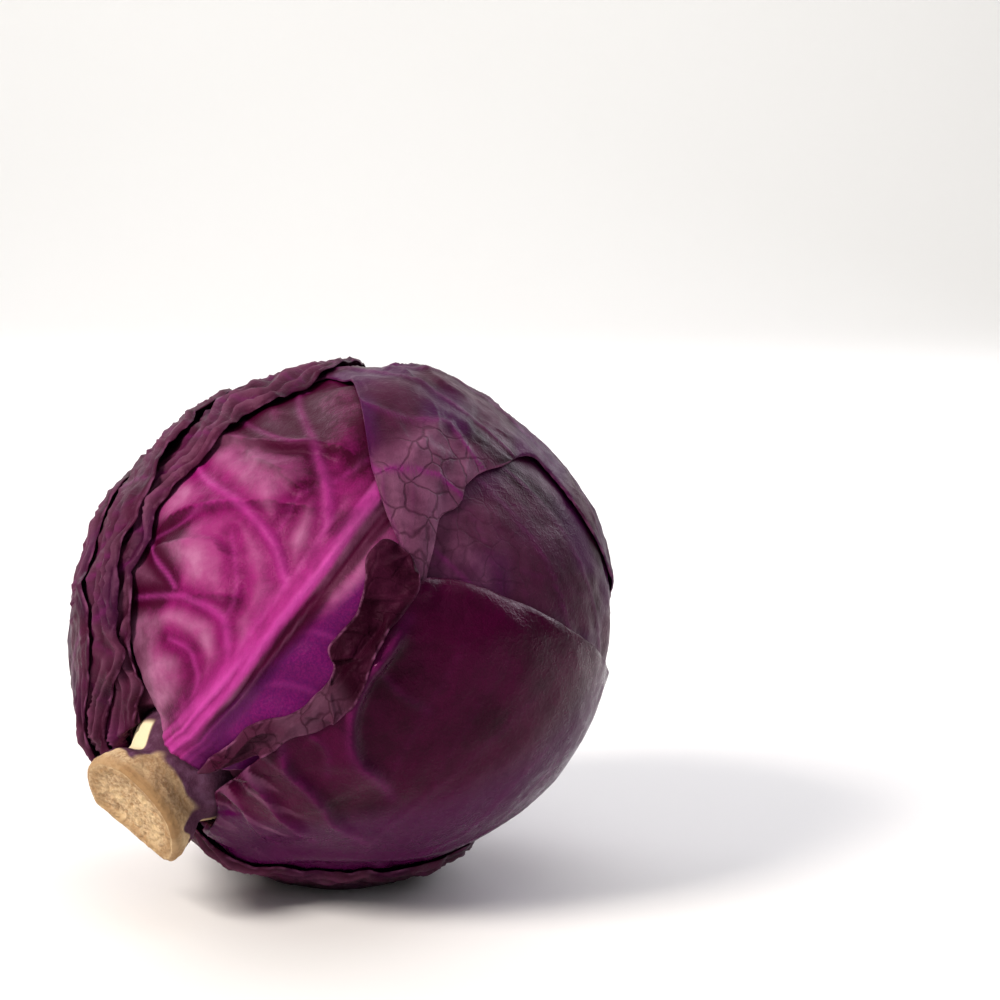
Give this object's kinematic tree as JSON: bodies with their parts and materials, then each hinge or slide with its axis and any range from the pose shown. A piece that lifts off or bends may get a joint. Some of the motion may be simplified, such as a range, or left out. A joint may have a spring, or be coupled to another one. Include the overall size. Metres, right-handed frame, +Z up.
{
  "type": "cabbage head",
  "caption": "Round purple cabbage head lying on its side, with wrapped, ribbed outer leaves, waved margins and a short cut stalk.",
  "frame": {"origin": "centre of the flat rest spot under the head, straight below the head's middle", "axes": "+Z up from the surface it lies on, +X to the picture's right, -Y towards the picture's viewer; the stalk points to -X, -Y and a little down"},
  "size_m": [0.1661, 0.164, 0.1584],
  "materials": {
    "stalk": "dry pale cut stalk with a corky rim",
    "heart": "packed inner leaves",
    "right_back_leaf": "matte waxy leaf",
    "front_leaf": "satin magenta leaf with raised ribs",
    "crown_leaf": "matte waxy leaf",
    "left_inner_leaf": "matte waxy leaf",
    "left_outer_leaf": "matte waxy leaf",
    "lower_leaf": "satin dark leaf",
    "back_leaf": "matte waxy leaf",
    "torn_leaf": "dry matte torn leaf"
  },
  "bodies": {
    "root": {"stalk": "stalk", "heart": "heart", "right_back_leaf": "right_back_leaf", "front_leaf": "front_leaf", "crown_leaf": "crown_leaf", "left_inner_leaf": "left_inner_leaf", "left_outer_leaf": "left_outer_leaf", "lower_leaf": "lower_leaf", "back_leaf": "back_leaf", "torn_leaf": "torn_leaf"}
  },
  "joints": []
}
